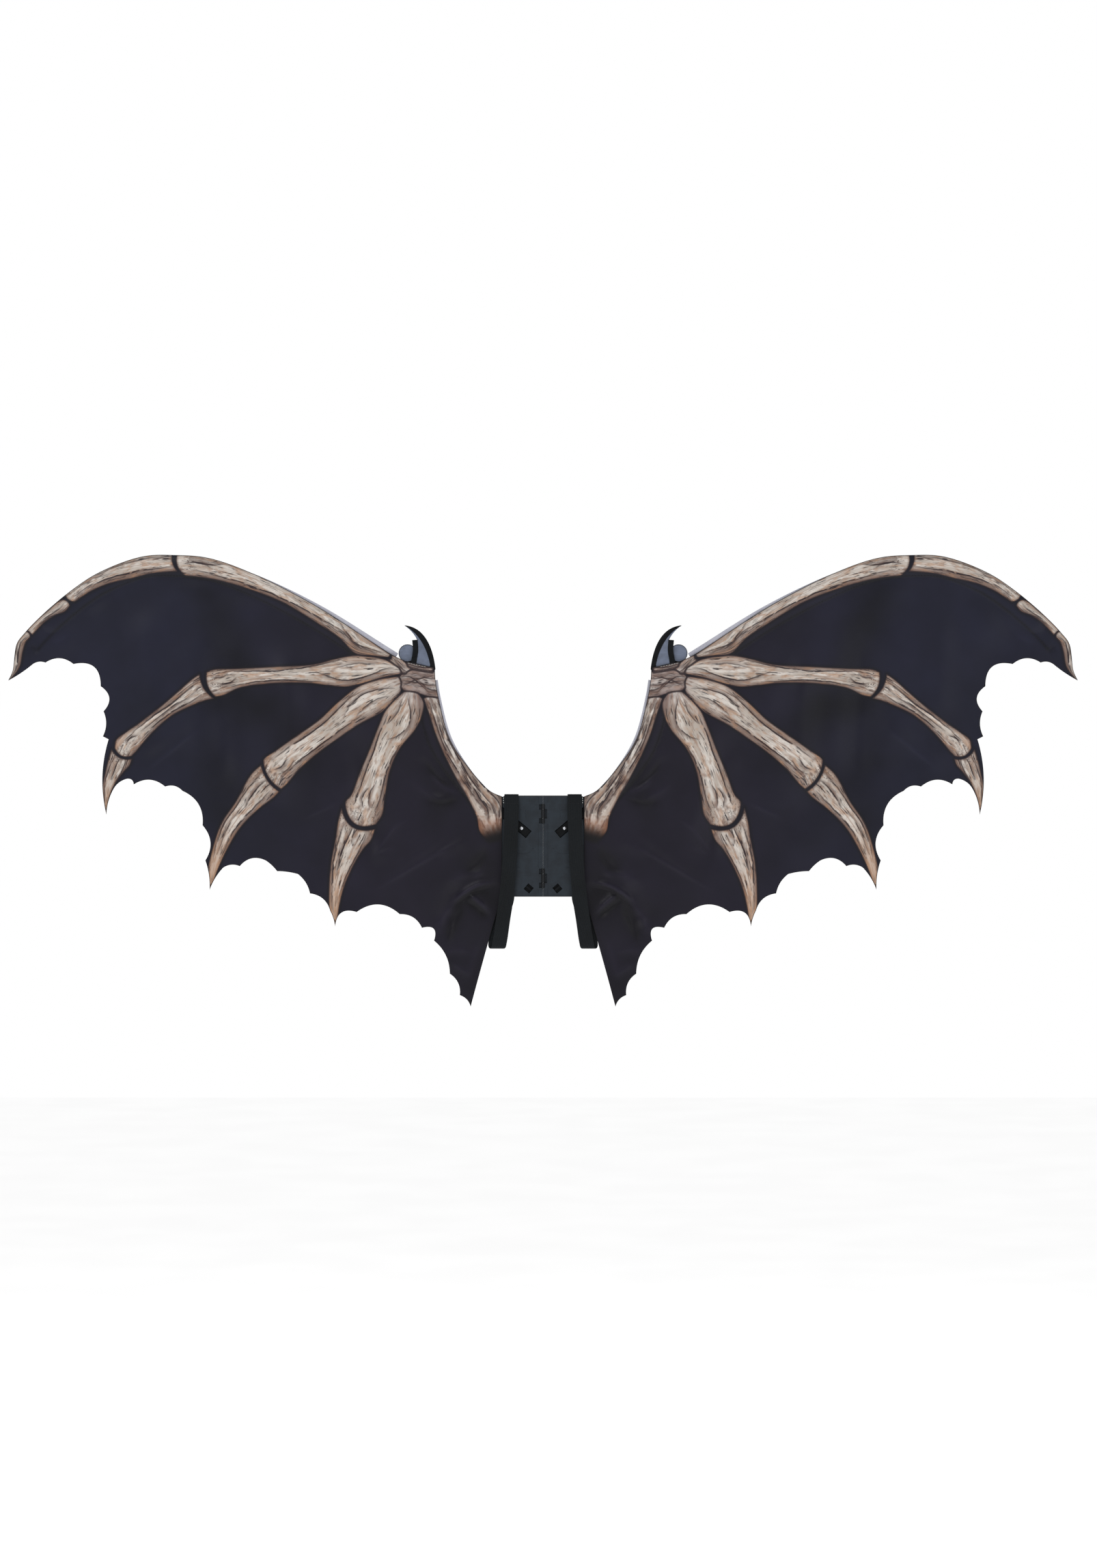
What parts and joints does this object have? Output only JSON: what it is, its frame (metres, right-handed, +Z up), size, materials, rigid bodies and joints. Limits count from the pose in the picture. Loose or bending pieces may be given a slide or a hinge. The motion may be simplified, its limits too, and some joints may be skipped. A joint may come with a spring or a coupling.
{
  "type": "skeleton wings",
  "caption": "Folding costume bat wings: scalloped cloth printed with bones, stretched on hidden arms with thumb claws, on a hinged back plate with elastic shoulder straps.",
  "frame": {"origin": "on the hinge line of the back plate, at half its height, on the face that rests against the wearer's back", "axes": "+X to the right as seen from the strap side, along the span; +Y away from the wearer; +Z up as worn"},
  "size_m": [1.492, 0.0208, 0.6304],
  "materials": {
    "wing_cloth": "dark satin cloth with a printed skeleton",
    "casing": "pale unprinted back of the same cloth",
    "arm": "moulded, slightly shiny",
    "metal": "bright steel",
    "strap": "ribbed elastic",
    "plate": "moulded, slightly shiny"
  },
  "bodies": {
    "right_wing": {"plate_right": "plate", "strap_right": "strap", "claw_arm_right": "arm", "wing_arm_right": "arm", "wrist_pin_right": "metal", "arm_rivet_right": "metal", "catch_right": "arm", "wing_cloth_right": "wing_cloth", "casing_outer_right": "casing", "casing_inner_right": "casing", "hinge_pin_upper": "metal", "hinge_pin_lower": "metal"},
    "left_wing": {"plate_left": "plate", "strap_left": "strap", "claw_arm_left": "arm", "wing_arm_left": "arm", "wrist_pin_left": "metal", "arm_rivet_left": "metal", "catch_left": "arm", "wing_cloth_left": "wing_cloth", "casing_outer_left": "casing", "casing_inner_left": "casing"}
  },
  "joints": [
    {"name": "plate_fold", "type": "hinge", "parent": "right_wing", "child": "left_wing", "pos_m": [0, 0, 0], "axis": [0, 0, 1], "range_deg": [0, 150]}
  ]
}
